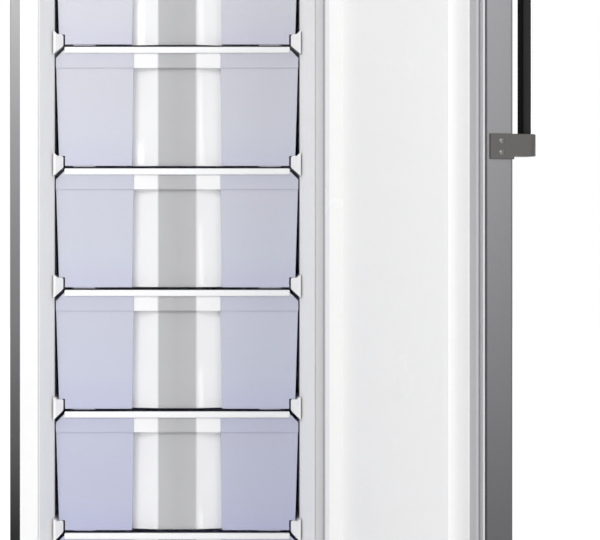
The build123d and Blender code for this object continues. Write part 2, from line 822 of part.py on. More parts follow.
low_bush_z = door_bottom - bush_flange
low_shoulder_z = low_bush_z - hinge_shoulder
low_plate_z = low_shoulder_z - hinge_plate_stock
low_flange_height = 20.0
pin_reach = 18.0
save(
    hinge_bracket(low_plate_z, low_shoulder_z - low_flange_height, low_flange_height),
    "hinge_bracket_lower",
)
save(
    hinge_pin(low_plate_z, door_bottom + pin_reach, low_shoulder_z, low_bush_z),
    "hinge_pin_lower",
)
save(hinge_bush(low_bush_z, door_bottom), "hinge_bush_lower")
high_plate_z = fascia_low_z - hinge_plate_stock
save(hinge_bracket(high_plate_z, fascia_low_z, hinge_flange_height), "hinge_bracket_upper")
save(
    hinge_pin(door_top - pin_reach, fascia_low_z, door_top + bush_flange, high_plate_z),
    "hinge_pin_upper",
)
save(hinge_bush(door_top, door_top - bush_length), "hinge_bush_upper")

# Door skin: a folded steel tray with hems on its inner side, between the two end caps
door_corner = 5.0
hem_width = 8.0
skin_low_z = door_bottom + cap_height
skin_high_z = door_top - cap_height
door_centre_y = (door_inner_y + door_outer_y) / 2
liner_face_y = door_inner_y
liner_back_y = door_inner_y - liner_sheet
with BuildPart() as door_skin:
    with BuildSketch(leaf_level(skin_low_z)):
        with Locations((0, door_centre_y)):
            tray = Rectangle(cabinet_width, door_thickness)
        fillet(tray.vertices().sort_by(Axis.Y)[:2], door_corner)
        with BuildSketch(mode=Mode.SUBTRACT):
            with Locations((0, door_centre_y)):
                hollow = Rectangle(cabinet_width - 2 * steel_sheet, door_thickness - 2 * steel_sheet)
            fillet(hollow.vertices().sort_by(Axis.Y)[:2], door_corner - steel_sheet)
            with Locations((0, door_inner_y)):
                Rectangle(cabinet_width - 2 * hem_width, 4 * steel_sheet)
    extrude(amount=skin_high_z - skin_low_z)
save(door_skin.part, "door_skin")

# Door liner: a formed white sheet with a raised dyke round a shallow recess
liner_half = half_width - hem_width
dyke_half = mouth_x - dyke_gap
dyke_low_z = mouth_low_z + dyke_gap
dyke_high_z = mouth_high_z - dyke_gap
dyke_radius = 14.0
recess_slope = 6.0


def door_form(shrink):
    """The solid under the liner's inner face, drawn back by a sheet."""
    top_y = liner_face_y + dyke_height - shrink
    base = frame_outline(
        leaf_across(liner_back_y), dyke_half - shrink, dyke_low_z + shrink, dyke_high_z - shrink, dyke_radius
    )
    top_inset = dyke_slope + shrink
    top = frame_outline(
        leaf_across(top_y), dyke_half - top_inset, dyke_low_z + top_inset, dyke_high_z - top_inset, dyke_radius
    )
    rim_inset = dyke_slope + dyke_face - shrink
    rim = frame_outline(
        leaf_across(top_y + 1), dyke_half - rim_inset, dyke_low_z + rim_inset, dyke_high_z - rim_inset, dyke_radius
    )
    floor_inset = rim_inset + recess_slope
    floor = frame_outline(
        leaf_across(liner_face_y + recess_level - shrink),
        dyke_half - floor_inset,
        dyke_low_z + floor_inset,
        dyke_high_z - floor_inset,
        dyke_radius,
    )
    with BuildPart() as form:
        loft([base.face(), top.face()], ruled=True)
        loft([rim.face(), floor.face()], ruled=True, mode=Mode.SUBTRACT)
    return form.part


with BuildPart() as door_liner:
    add(extrude(frame_outline(leaf_across(liner_face_y), liner_half, skin_low_z, skin_high_z), liner_sheet))
    add(door_form(0.0))
    add(door_form(liner_sheet), mode=Mode.SUBTRACT)
save(door_liner.part, "door_liner")

# End caps of the door, each with a boss that takes the hinge bush
boss_half = 12.0
boss_height = bush_length - cap_height + 2.0
bush_radius = hinge_pin_radius + running_gap + bush_wall


def door_cap(plate_low_z, boss_low_z, bush_low_z):
    """A rounded end plate with the boss for the bush on its inner side."""
    with BuildPart() as cap:
        with BuildSketch(leaf_level(plate_low_z)):
            with Locations((0, door_centre_y)):
                plate = Rectangle(cabinet_width, door_thickness)
            fillet(plate.vertices().sort_by(Axis.Y)[:2], door_corner)
        extrude(amount=cap_height)
        with BuildSketch(leaf_level(boss_low_z)):
            with Locations((hinge_x, hinge_y)):
                RectangleRounded(2 * boss_half, 2 * boss_half, 4)
        extrude(amount=boss_height)
        with BuildSketch(leaf_level(bush_low_z)):
            with Locations((hinge_x, hinge_y)):
                Circle(bush_radius)
        extrude(amount=bush_length, mode=Mode.SUBTRACT)
    return cap.part


cap_bottom = door_cap(door_bottom, skin_low_z, door_bottom)
cap_top = door_cap(skin_high_z, skin_high_z - boss_height, door_top - bush_length)
save(cap_bottom, "door_cap_bottom")
save(cap_top, "door_cap_top")

# Foam inside the door
with BuildPart() as door_insulation:
    foam_depth = door_thickness - steel_sheet - liner_sheet
    with BuildSketch(leaf_level(skin_low_z)):
        with Locations((0, door_outer_y + steel_sheet + foam_depth / 2)):
            core = Rectangle(cabinet_width - 2 * steel_sheet, foam_depth)
        fillet(core.vertices().sort_by(Axis.Y)[:2], door_corner - steel_sheet)
    extrude(amount=skin_high_z - skin_low_z)
    add(door_form(liner_sheet))
    for boss_low_z in (skin_low_z, skin_high_z - boss_height):
        with BuildSketch(leaf_level(boss_low_z)):
            with Locations((hinge_x, hinge_y)):
                RectangleRounded(2 * boss_half, 2 * boss_half, 4)
        extrude(amount=boss_height, mode=Mode.SUBTRACT)
save(door_insulation.part, "door_insulation")

# Gasket: a hollow-looking profile of base, waist and magnet head round the door's inner side
gasket_half = half_width - gasket_inset
gasket_low_z = door_bottom + gasket_inset
gasket_high_z = door_top - gasket_inset
gasket_layers = ((0.0, 3.5, 2.0), (3.5, 7.0, 4.5), (7.0, gasket_height, 0.0))
with BuildPart() as door_gasket:
    for layer_start, layer_end, inset in gasket_layers:
        layer_y = liner_face_y + layer_start
        outer = frame_outline(
            leaf_across(layer_y), gasket_half - inset, gasket_low_z + inset, gasket_high_z - inset, 8
        )
        opening_inset = gasket_width - inset
        outer -= frame_outline(
            leaf_across(layer_y),
            gasket_half - opening_inset,
            gasket_low_z + opening_inset,
            gasket_high_z - opening_inset,
            4,
        )
        extrude(outer, amount=layer_start - layer_end)
save(door_gasket.part, "door_gasket")

# Handle: two brackets on the door's free edge that carry an oval bar in two shells
handle_x = -half_width + handle_inset
handle_y = door_outer_y - handle_reach
bracket_stock = 3.0
arm_height = 33.0
arm_reach = 41.0
arm_inboard = 36.0
arm_corner = 14.0
trim_depth = 4.0
bar_corner = 8.0
upper_handle_z = handle_height + handle_length


def handle_bracket(centre_z, bar_side):
    """An edge plate with a rounded arm out to the bar; bar_side is 1 where the bar is above."""
    with BuildPart() as bracket:
        plate_low_z = centre_z - bracket_plate_height / 2
        plate_front_y = door_outer_y
        with BuildSketch(leaf_level(plate_low_z)):
            with Locations((-half_width - bracket_stock / 2, plate_front_y + bracket_plate_width / 2)):
                Rectangle(bracket_stock, bracket_plate_width)
        extrude(amount=bracket_plate_height)
        arm_end_z = centre_z + bar_side * bracket_plate_height / 2
        with BuildSketch(leaf_level(arm_end_z)):
            with BuildLine():
                arm_left_x = -half_width - bracket_stock
                arm_right_x = arm_left_x + bracket_stock + arm_inboard
                Line((arm_left_x, plate_front_y), (arm_right_x, plate_front_y))
                Line((arm_right_x, plate_front_y), (arm_right_x, plate_front_y - arm_reach + 6))
                Line((arm_right_x, plate_front_y - arm_reach + 6), (arm_right_x - 6, plate_front_y - arm_reach))
                Line(
                    (arm_right_x - 6, plate_front_y - arm_reach),
                    (arm_left_x + arm_corner, plate_front_y - arm_reach),
                )
                RadiusArc(
                    (arm_left_x + arm_corner, plate_front_y - arm_reach),
                    (arm_left_x, plate_front_y - arm_reach + arm_corner),
                    arm_corner,
                )
                Line((arm_left_x, plate_front_y - arm_reach + arm_corner), (arm_left_x, plate_front_y))
            make_face()
        extrude(amount=-bar_side * arm_height)
        far_edges = bracket.faces().sort_by(Axis.Z)[0 if bar_side > 0 else -1]
    return bracket.part


save(handle_bracket(handle_height, 1), "handle_bracket_lower")
save(handle_bracket(upper_handle_z, -1), "handle_bracket_upper")

bar_low_z = handle_height + bracket_plate_height / 2
bar_high_z = upper_handle_z - bracket_plate_height / 2
grip_depth_y = handle_bar_depth - trim_depth
flare_length = 18.0
flare_growth = 8.0
bar_outer_y = handle_y - handle_bar_depth / 2
with BuildPart() as handle_grip:
    with BuildSketch(leaf_level(bar_low_z)):
        with Locations((handle_x, bar_outer_y + trim_depth + grip_depth_y / 2)):
            section = Rectangle(handle_bar_width, grip_depth_y)
        fillet(section.vertices().sort_by(Axis.Y)[2:], 6)
    extrude(amount=bar_high_z - bar_low_z)
save(handle_grip.part, "handle_grip")

with BuildPart() as handle_trim:
    with BuildSketch(leaf_level(bar_low_z)):
        with Locations((handle_x, bar_outer_y + trim_depth / 2)):
            shell = Rectangle(handle_bar_width, trim_depth)
        fillet(shell.vertices().sort_by(Axis.Y)[:2], trim_depth - 0.5)
    extrude(amount=bar_high_z - bar_low_z)
save(handle_trim.part, "handle_trim")

# Drawers: a frosted bin with stepped sides and a clear grip panel seated in its front
rim_x = wall_x - drawer_side_gap
side_top = drawer_height - rim_chamfer
grip_half_top = grip_width_top / 2
grip_half_bottom = grip_width_bottom / 2
back_slope = 8.0
back_corner = 16.0
rim_width = 3.0
rim_height = 4.0
nub_x = 170.0
nub_width = 42.0


def drawer_section(level, half, length, inset):
    """The plan of a bin at one level, with its two rear corners rounded."""
    low_y = drawer_front_y + inset
    high_y = drawer_front_y + length - inset
    with BuildSketch(Plane.XY.offset(level)) as section:
        with Locations((0, (low_y + high_y) / 2)):
            plan = Rectangle(2 * (half - inset), high_y - low_y)
        fillet(plan.vertices().sort_by(Axis.Y)[2:], back_corner - inset)
    return section.sketch.face()


def grip_prism(level, depth):
    """The tapered block of space that the grip panel fills in the bin's front."""
    with BuildPart() as prism:
        with BuildSketch(across(drawer_front_y - band_thickness)):
            with BuildLine():
                Polyline(
                    (-grip_half_bottom, level),
                    (grip_half_bottom, level),
                    (grip_half_top, level + drawer_height),
                    (-grip_half_top, level + drawer_height),
                    close=True,
                )
            make_face()
        extrude(amount=-band_thickness - depth)
    return prism.part


def drawer_bin(level, length):
    """One bin: stepped and drafted walls, front band, rolled side rims and front nubs."""
    step = level + runner_height
    with BuildPart() as bin_part:
        for inset, how in ((0.0, Mode.ADD), (drawer_wall, Mode.SUBTRACT)):
            floor_z = level + inset
            step_z = step + inset
            top_z = level + side_top + 2 * inset
            loft(
                [
                    drawer_section(floor_z, drawer_foot_x, length - back_slope, inset),
                    drawer_section(step_z, drawer_foot_x, length - back_slope, inset),
                ],
                mode=how,
            )
            loft(
                [
                    drawer_section(step_z, drawer_step_x, length - back_slope, inset),
                    drawer_section(top_z, rim_x, length, inset),
                ],
                mode=how,
            )
        with BuildSketch(across(drawer_front_y)):
            with BuildLine():
                Polyline(
                    (-rim_x, level + side_top),
                    (rim_x, level + side_top),
                    (rim_x - rim_chamfer, level + drawer_height),
                    (rim_chamfer - rim_x, level + drawer_height),
                    close=True,
                )
            make_face()
        extrude(amount=-drawer_wall)
        with BuildSketch(across(drawer_front_y)):
            with BuildLine():
                Polyline(
                    (-rim_x, level + drawer_height - band_height),
                    (rim_x, level + drawer_height - band_height),
                    (rim_x, level + side_top),
                    (rim_x - rim_chamfer, level + drawer_height),
                    (rim_chamfer - rim_x, level + drawer_height),
                    (-rim_x, level + side_top),
                    close=True,
                )
            make_face()
        extrude(amount=band_thickness)
        with BuildSketch(Plane.XY.offset(level - 2)):
            with Locations((-nub_x, drawer_front_y + 8), (nub_x, drawer_front_y + 8)):
                SlotOverall(nub_width, 8)
        extrude(amount=3)
        add(grip_prism(level, grip_depth), mode=Mode.SUBTRACT)
        with BuildSketch(across(drawer_front_y)):
            for side in (-1, 1):
                with BuildLine():
                    Polyline(
                        (side * grip_half_bottom, level),
                        (side * (grip_half_bottom + drawer_wall), level),
                        (side * (grip_half_top + drawer_wall), level + drawer_height),
                        (side * grip_half_top, level + drawer_height),
                        close=True,
                    )
                make_face()
        extrude(amount=-grip_depth)
    return bin_part.part


def grip_panel(level):
    """The clear middle of a drawer front: a hooked lip over a curved and recessed sheet."""
    lip_z = level + drawer_height - band_height
    flat_y = drawer_front_y + grip_flat_depth
    side_y = drawer_front_y + grip_depth - drawer_wall
    flat_half = grip_flat_width / 2
    bow = 2.0
    with BuildPart() as panel:
        with BuildSketch(Plane.XY.offset(level)):
            with BuildLine():
                for shift in (0.0, drawer_wall):
                    bow_x = (flat_half + grip_half_bottom) / 2
                    bow_y = (flat_y + side_y) / 2 + bow
                    ThreePointArc(
                        (-grip_half_bottom, side_y + shift),
                        (-bow_x, bow_y + shift),
                        (-flat_half, flat_y + shift),
                    )
                    Line((-flat_half, flat_y + shift), (flat_half, flat_y + shift))
                    ThreePointArc(
                        (flat_half, flat_y + shift),
                        (bow_x, bow_y + shift),
                        (grip_half_bottom, side_y + shift),
                    )
                Line((-grip_half_bottom, side_y), (-grip_half_bottom, side_y + drawer_wall))
                Line((grip_half_bottom, side_y), (grip_half_bottom, side_y + drawer_wall))
            make_face()
        extrude(amount=drawer_height - band_height)
        with BuildSketch(Plane.YZ):
            with BuildLine():
                Polyline(
                    (drawer_front_y, lip_z),
                    (drawer_front_y, level + drawer_height),
                    (drawer_front_y + drawer_wall, level + drawer_height),
                    (drawer_front_y + drawer_wall, lip_z + drawer_wall),
                    (drawer_front_y + grip_depth, lip_z + drawer_wall),
                    (drawer_front_y + grip_depth, lip_z),
                    close=True,
                )
            make_face()
        extrude(amount=grip_half_bottom, both=True)
        with BuildSketch(Plane.XY.offset(level)):
            with BuildLine():
                Polyline(
                    (-grip_half_bottom, side_y + drawer_wall),
                    (-grip_half_bottom, side_y),
                    (-flat_half, flat_y),
                    (flat_half, flat_y),
                    (grip_half_bottom, side_y),
                    (grip_half_bottom, side_y + drawer_wall),
                    close=True,
                )
            make_face()
        extrude(amount=drawer_wall)
        add(grip_prism(level, grip_depth), mode=Mode.INTERSECT)
    return panel.part


for number, level in enumerate(drawer_levels, start=1):
    length = short_drawer_length if number == 1 else drawer_length
    save(drawer_bin(level, length), f"drawer_bin_{number}")
    save(grip_panel(level), f"drawer_grip_{number}")
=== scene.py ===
import json
from math import cos, pi, radians, sin

import bmesh
import bpy
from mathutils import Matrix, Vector


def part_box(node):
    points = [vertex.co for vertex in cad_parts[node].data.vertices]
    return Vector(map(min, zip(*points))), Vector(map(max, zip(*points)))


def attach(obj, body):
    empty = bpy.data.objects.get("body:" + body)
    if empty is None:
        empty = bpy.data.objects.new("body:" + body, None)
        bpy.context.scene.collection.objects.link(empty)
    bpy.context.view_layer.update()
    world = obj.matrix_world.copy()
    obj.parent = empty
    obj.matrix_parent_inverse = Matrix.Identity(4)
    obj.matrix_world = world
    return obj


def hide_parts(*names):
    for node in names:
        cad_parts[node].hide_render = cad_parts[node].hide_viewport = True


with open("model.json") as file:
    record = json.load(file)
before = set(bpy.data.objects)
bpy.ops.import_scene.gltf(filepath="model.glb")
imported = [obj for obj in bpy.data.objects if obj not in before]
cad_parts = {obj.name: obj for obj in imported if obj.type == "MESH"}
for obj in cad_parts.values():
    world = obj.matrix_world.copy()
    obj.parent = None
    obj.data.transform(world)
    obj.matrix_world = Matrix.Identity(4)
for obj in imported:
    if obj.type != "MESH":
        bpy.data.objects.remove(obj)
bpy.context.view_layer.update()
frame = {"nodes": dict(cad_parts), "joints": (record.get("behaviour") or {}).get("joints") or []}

# Camera: square in front of the cabinet, 3.3 m away, level and 925 mm above the floor.
# A long lens with a small shift frames the drawers, the inner side of the open door and
# the lower half of the handle.
camera_data = bpy.data.cameras.new("front_camera")
camera_data.lens = 110.2
camera_data.sensor_width = 36.0
camera_data.sensor_fit = "HORIZONTAL"
camera_data.shift_x = 0.1917
camera_data.shift_y = -0.0633
camera_data.clip_end = 60.0
camera = bpy.data.objects.new("front_camera", camera_data)
bpy.context.collection.objects.link(camera)
camera.location = (0.0144, -3.58, 0.925)
camera.rotation_euler = (radians(90), 0, 0)
scene = bpy.context.scene
scene.camera = camera
scene.view_settings.view_transform = "Standard"

# Studio surround: plain white to the eye and in reflections, and a softer light on the room.
# Two large lamps stand before the freezer and reach into the open cabinet.
world = bpy.data.worlds.new("studio_surround")
scene.world = world
world.use_nodes = True
surround = world.node_tree


def seen_directly(tree):
    """A value of 1 for rays from the eye, a mirror or a glass, and 0 for rays that light things."""
    rays = tree.nodes.new("ShaderNodeLightPath")
    value = rays.outputs["Is Camera Ray"]
    for name in ("Is Glossy Ray", "Is Transmission Ray"):
        larger = tree.nodes.new("ShaderNodeMath")
        larger.operation = "MAXIMUM"
        tree.links.new(value, larger.inputs[0])
        tree.links.new(rays.outputs[name], larger.inputs[1])
        value = larger.outputs[0]
    return value


surround_level = surround.nodes.new("ShaderNodeMapRange")
surround_level.inputs["To Min"].default_value = 0.66
surround_level.inputs["To Max"].default_value = 1.0
surround.links.new(seen_directly(surround), surround_level.inputs["Value"])
surround.links.new(surround_level.outputs["Result"], surround.nodes["Background"].inputs["Strength"])
surround.nodes["Background"].inputs["Color"].default_value = (1, 1, 1, 1)


def soft_lamp(name, place, turn, size, power):
    """A large area lamp on a stand."""
    lamp = bpy.data.lights.new(name, "AREA")
    lamp.shape = "RECTANGLE"
    lamp.size, lamp.size_y = size
    lamp.energy = power
    stand = bpy.data.objects.new(name, lamp)
    bpy.context.collection.objects.link(stand)
    stand.location = place
    stand.rotation_euler = [radians(angle) for angle in turn]


soft_lamp("left_softbox", (-1.3, -3.4, 2.5), (64, 0, -18), (1.8, 1.8), 52)
soft_lamp("right_softbox", (1.9, -2.9, 1.5), (83, 0, 36), (1.0, 2.2), 22)

# Studio floor: a pale matt sheet that reads as white and keeps the freezer's shadow.
floor_reach = 14.0
floor_mesh = bpy.data.meshes.new("studio_floor")
floor_corners = [(-floor_reach, -floor_reach, 0), (floor_reach, -floor_reach, 0)]
floor_corners += [(floor_reach, floor_reach, 0), (-floor_reach, floor_reach, 0)]
floor_mesh.from_pydata(floor_corners, [], [(0, 1, 2, 3)])
studio_floor = bpy.data.objects.new("studio_floor", floor_mesh)
bpy.context.collection.objects.link(studio_floor)


def finish(
    name, colour, tone=0.05, grain=160.0, rough=0.4, rough_spread=0.08, bump=0.06, **sockets
):
    """A surface whose colour, gloss and fine relief vary a little, as on the real material."""
    material = bpy.data.materials.new(name)
    material.use_nodes = True
    nodes, links = material.node_tree.nodes, material.node_tree.links
    shader = nodes["Principled BSDF"]
    place = nodes.new("ShaderNodeTexCoord")
    fine = nodes.new("ShaderNodeTexNoise")
    fine.inputs["Scale"].default_value = grain
    fine.inputs["Detail"].default_value = 4
    links.new(place.outputs["Object"], fine.inputs["Vector"])
    broad = nodes.new("ShaderNodeTexNoise")
    broad.inputs["Scale"].default_value = 3.5
    broad.inputs["Detail"].default_value = 3
    links.new(place.outputs["Object"], broad.inputs["Vector"])
    blend = nodes.new("ShaderNodeMix")
    links.new(fine.outputs["Fac"], blend.inputs["A"])
    links.new(broad.outputs["Fac"], blend.inputs["B"])
    tint = nodes.new("ShaderNodeValToRGB")
    tint.name = "tint"
    tint.color_ramp.elements[0].position = 0.35
    tint.color_ramp.elements[1].position = 0.65
    tint.color_ramp.elements[0].color = [part * (1 - tone) for part in colour] + [1]
    tint.color_ramp.elements[1].color = [min(1, part * (1 + tone)) for part in colour] + [1]
    links.new(blend.outputs["Result"], tint.inputs["Fac"])
    links.new(tint.outputs["Color"], shader.inputs["Base Color"])
    gloss = nodes.new("ShaderNodeMapRange")
    gloss.inputs["To Min"].default_value = rough - rough_spread
    gloss.inputs["To Max"].default_value = rough + rough_spread
    links.new(broad.outputs["Fac"], gloss.inputs["Value"])
    links.new(gloss.outputs["Result"], shader.inputs["Roughness"])
    relief = nodes.new("ShaderNodeBump")
    relief.inputs["Strength"].default_value = bump
    relief.inputs["Distance"].default_value = 0.0004
    links.new(fine.outputs["Fac"], relief.inputs["Height"])
    links.new(relief.outputs["Normal"], shader.inputs["Normal"])
    for socket, value in sockets.items():
        shader.inputs[socket.replace("_", " ")].default_value = value
    return material


floor_paint = finish("pale_floor", (0.86, 0.86, 0.86), tone=0.01, grain=40, rough=0.7)
glow = floor_paint.node_tree.nodes.new("ShaderNodeMapRange")
glow.inputs["To Max"].default_value = 0.5
floor_paint.node_tree.links.new(seen_directly(floor_paint.node_tree), glow.inputs["Value"])
floor_shader = floor_paint.node_tree.nodes["Principled BSDF"]
floor_paint.node_tree.links.new(glow.outputs["Result"], floor_shader.inputs["Emission Strength"])
floor_shader.inputs["Emission Color"].default_value = (1, 1, 1, 1)
floor_mesh.materials.append(floor_paint)

# Outer shell: folded sheet steel with a satin silver-grey coat, painted darker towards the floor as a
# painted reflection of darker surroundings low down.
# Each side panel wraps round to the front in a narrow lip, and a rail closes the top.


def paint_along(material, axis, stops, mirrored=False, start=0.0, pitch=None):
    """Lay a band of tints along one axis over the colour, both ways from the middle or repeated."""
    nodes, links = material.node_tree.nodes, material.node_tree.links
    shader = nodes["Principled BSDF"]
    colour = shader.inputs["Base Color"].links[0].from_socket
    value = along(material, axis, mirrored, start, pitch)
    low, high = stops[0][0], stops[-1][0]
    span = nodes.new("ShaderNodeMapRange")
    span.inputs["From Min"].default_value = low
    span.inputs["From Max"].default_value = high
    links.new(value, span.inputs["Value"])
    band = nodes.new("ShaderNodeValToRGB")
    for index, (position, shade) in enumerate(stops):
        share = (position - low) / (high - low)
        stop = band.color_ramp.elements[index] if index < 2 else band.color_ramp.elements.new(share)
        stop.position = share
    for stop, (position, shade) in zip(sorted(band.color_ramp.elements, key=lambda e: e.position), stops):
        stop.color = (*shade, 1)
    links.new(span.outputs["Result"], band.inputs["Fac"])
    mixed = nodes.new("ShaderNodeMix")
    mixed.data_type = "RGBA"
    mixed.blend_type = "MULTIPLY"
    mixed.inputs["Factor"].default_value = 1.0
    links.new(colour, mixed.inputs[6])
    links.new(band.outputs["Color"], mixed.inputs[7])
    links.new(mixed.outputs[2], shader.inputs["Base Color"])


def along(material, axis, mirrored=False, start=0.0, pitch=None):
    """The place along one axis, in metres, taken both ways from the middle or within each pitch."""
    nodes, links = material.node_tree.nodes, material.node_tree.links
    place = nodes.new("ShaderNodeTexCoord")
    split = nodes.new("ShaderNodeSeparateXYZ")
    links.new(place.outputs["Object"], split.inputs[0])
    value = split.outputs[axis]
    if mirrored:
        size = nodes.new("ShaderNodeMath")
        size.operation = "ABSOLUTE"
        links.new(value, size.inputs[0])
        value = size.outputs[0]
    if pitch:
        offset = nodes.new("ShaderNodeMath")
        offset.operation = "SUBTRACT"
        offset.inputs[1].default_value = start
        links.new(value, offset.inputs[0])
        wrapped = nodes.new("ShaderNodeMath")
        wrapped.operation = "FLOORED_MODULO"
        wrapped.inputs[1].default_value = pitch
        links.new(offset.outputs[0], wrapped.inputs[0])
        value = wrapped.outputs[0]
    return value


def grey(level):
    """A neutral tint."""
    return (level, level, level)


def coat(material, *names):
    """Give CAD nodes this material."""
    for name in names:
        for holder in frame["nodes"][name].material_slots:
            holder.material = material


def ease_edges(width, *names, angle=30.0, segments=2):
    """Round the sharp edges of CAD nodes a little, as pressed, moulded and painted parts have them."""
    for name in names:
        node = frame["nodes"][name]
        joined = node.modifiers.new("joined", "WELD")
        joined.merge_threshold = 0.00001
        plain = node.modifiers.new("plain", "DECIMATE")
        plain.decimate_type = "DISSOLVE"
        plain.angle_limit = radians(1.5)
        round_over = node.modifiers.new("round_over", "BEVEL")
        round_over.width = width
        round_over.segments = segments
        round_over.limit_method = "ANGLE"
        round_over.angle_limit = radians(angle)
        round_over.harden_normals = True


steel = finish("silver_steel", (0.34, 0.34, 0.35), grain=900, rough=0.36, bump=0.04, Metallic=0.55)
# Painted reflection: the coat's colour is multiplied darker towards the floor, standing in for the darker
# surroundings the satin steel would reflect there.
steel_painted_reflection = [(0.0, 0.05), (0.38, 0.02), (0.75, 0.4), (1.34, 0.8), (1.86, 1.0)]
paint_along(steel, 2, [(height, grey(level)) for height, level in steel_painted_reflection])
coat(steel, "side_panel_left", "side_panel_right", "top_panel")
ease_edges(0.0004, "top_panel")

# Back and underside: bare zinc-coated sheet with a faint spangle, and a shallow tray for the
# compressor. The back sheet is screwed along its edges.
zinc = finish("zinc_sheet", (0.46, 0.47, 0.48), tone=0.14, grain=55, rough=0.42, Metallic=0.75)
coat(zinc, "rear_panel", "base_pan", "base_frame", "compressor_plate")
ease_edges(0.0004, "rear_panel", "base_frame", "compressor_plate")

bright_steel = finish("bright_steel", (0.6, 0.6, 0.61), tone=0.08, grain=250, rough=0.28, Metallic=1.0)


def screw_head(name, place, across, up, radius, material, body):
    """A low round screw head with a cross recess, whose disc lies between two directions."""
    facing = Vector(across).cross(Vector(up))
    rings, spokes = 9, 40
    crown, slot_half, slot_reach, slot_depth = 0.42, 0.13, 0.62, 0.26
    points, faces = [], []
    for ring in range(rings + 1):
        reach = radius * ring / rings
        for spoke in range(spokes):
            turn = 2 * pi * spoke / spokes
            u, v = reach * cos(turn), reach * sin(turn)
            height = crown * radius * (1 - (ring / rings) ** 3)
            if min(abs(u), abs(v)) < slot_half * radius and reach < slot_reach * radius:
                height -= slot_depth * radius
            points.append([place[i] + u * across[i] + v * up[i] + height * facing[i] for i in range(3)])
    for ring in range(rings):
        for spoke in range(spokes):
            after = (spoke + 1) % spokes
            low, high = ring * spokes, (ring + 1) * spokes
            faces.append((low + spoke, high + spoke, high + after, low + after))
    add_piece(name, points, faces, material, body)


def add_piece(name, points, faces, material, body, smooth=35.0):
    """A new piece of the freezer, in metres, that moves with one of its bodies."""
    build = bmesh.new()
    spots = [build.verts.new(point) for point in points]
    for face in faces:
        build.faces.new([spots[index] for index in face])
    bmesh.ops.remove_doubles(build, verts=build.verts, dist=0.000002)
    bmesh.ops.recalc_face_normals(build, faces=build.faces)
    mesh = bpy.data.meshes.new(name)
    build.to_mesh(mesh)
    build.free()
    mesh.shade_smooth()
    mesh.set_sharp_from_angle(angle=radians(smooth))
    mesh.materials.append(material)
    piece = bpy.data.objects.new(name, mesh)
    bpy.context.collection.objects.link(piece)
    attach(piece, body)
    return piece


back_low, back_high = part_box("rear_panel")
back_screw_rows, back_screw_margin = 6, 0.03
back_screw_x, back_screw_y, back_screw_radius = 0.291, 0.280, 0.0042
back_screw_span = back_high.z - back_low.z - 2 * back_screw_margin
for side, side_name in ((-1, "left"), (1, "right")):
    for row in range(back_screw_rows):
        height = back_low.z + back_screw_margin + row * back_screw_span / (back_screw_rows - 1)
        spot = (side * back_screw_x, back_screw_y, height)
        name = f"back_screw_{side_name}_{row + 1}"
        screw_head(name, spot, (-1, 0, 0), (0, 0, 1), back_screw_radius, bright_steel, "cabinet")

# Liner: one white glossy sheet, formed with the flared mouth, the runners and the rear step.
# The foam behind it hardly shows.
white_sheet = finish(
    "white_sheet", (0.85, 0.85, 0.855), tone=0.01, grain=90, rough=0.24, rough_spread=0.05, bump=0.02
)
coat(white_sheet, "inner_liner")
ease_edges(0.0012, "inner_liner")
foam = finish("rigid_foam", (0.85, 0.78, 0.55), tone=0.1, grain=300, rough=0.9, bump=0.4)
coat(foam, "cabinet_insulation", "door_insulation")

# Feet and rollers: black moulded plastic under the front corners and at the back, with steel axles,
# and a dark plinth grille under the door.
black_plastic = finish("black_plastic", (0.018, 0.018, 0.018), tone=0.15, grain=1200, rough=0.5, bump=0.2)
coat(black_plastic, "foot_left", "foot_right", "roller_left", "roller_right")
coat(bright_steel, "roller_axles")
ease_edges(0.0006, "foot_left", "foot_right")
grey_plastic = finish("grey_plastic", (0.15, 0.155, 0.16), grain=1400, rough=0.52, bump=0.2)
coat(grey_plastic, "plinth_grille")
ease_edges(0.0005, "plinth_grille")

# Compressor: two enamelled steel shells welded at the waist, on rubber grommets.
# The domed shell has a weld bead round its waist and stands on a foot plate.
enamel = finish("black_enamel", (0.012, 0.012, 0.012), tone=0.2, grain=70, rough=0.24, bump=0.1)
rubber = finish("black_rubber", (0.02, 0.02, 0.02), tone=0.2, grain=400, rough=0.8, bump=0.2)
shell_low, shell_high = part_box("compressor")
shell_x, shell_y = (shell_low.x + shell_high.x) / 2, (shell_low.y + shell_high.y) / 2
plate_top = shell_low.z + 0.003
dome = shell_high.z - plate_top
waist = plate_top + dome * 0.5
shell_radius, weld_half, weld_reach = 0.070, 0.004, 0.003
profile = [(0.0, plate_top), (0.046, plate_top), (0.060, plate_top + 0.008), (0.0665, plate_top + 0.022)]
profile += [(shell_radius, waist - weld_half), (shell_radius + weld_reach / 2, waist - 0.003)]
profile += [(shell_radius + weld_reach, waist), (shell_radius + weld_reach / 2, waist + 0.003)]
profile += [(shell_radius, waist + weld_half)]
dome_steps = 12
for step in range(1, dome_steps + 1):
    turn = pi / 2 * step / dome_steps
    rise = (dome * 0.5 - weld_half) * sin(turn) ** 0.9
    profile.append((shell_radius * cos(turn) ** 0.8, waist + weld_half + rise))


def turned_piece(name, outline, centre, material, body, spokes=72):
    """A turned part from its outline of radius and height, about an upright axis."""
    points, faces = [], []
    for radius, height in outline:
        for spoke in range(spokes):
            turn = 2 * pi * spoke / spokes
            points.append((centre[0] + radius * cos(turn), centre[1] + radius * sin(turn), height))
    for row in range(len(outline) - 1):
        for spoke in range(spokes):
            after = (spoke + 1) % spokes
            low, high = row * spokes, (row + 1) * spokes
            faces.append((low + spoke, low + after, high + after, high + spoke))
    return add_piece(name, points, faces, material, body)


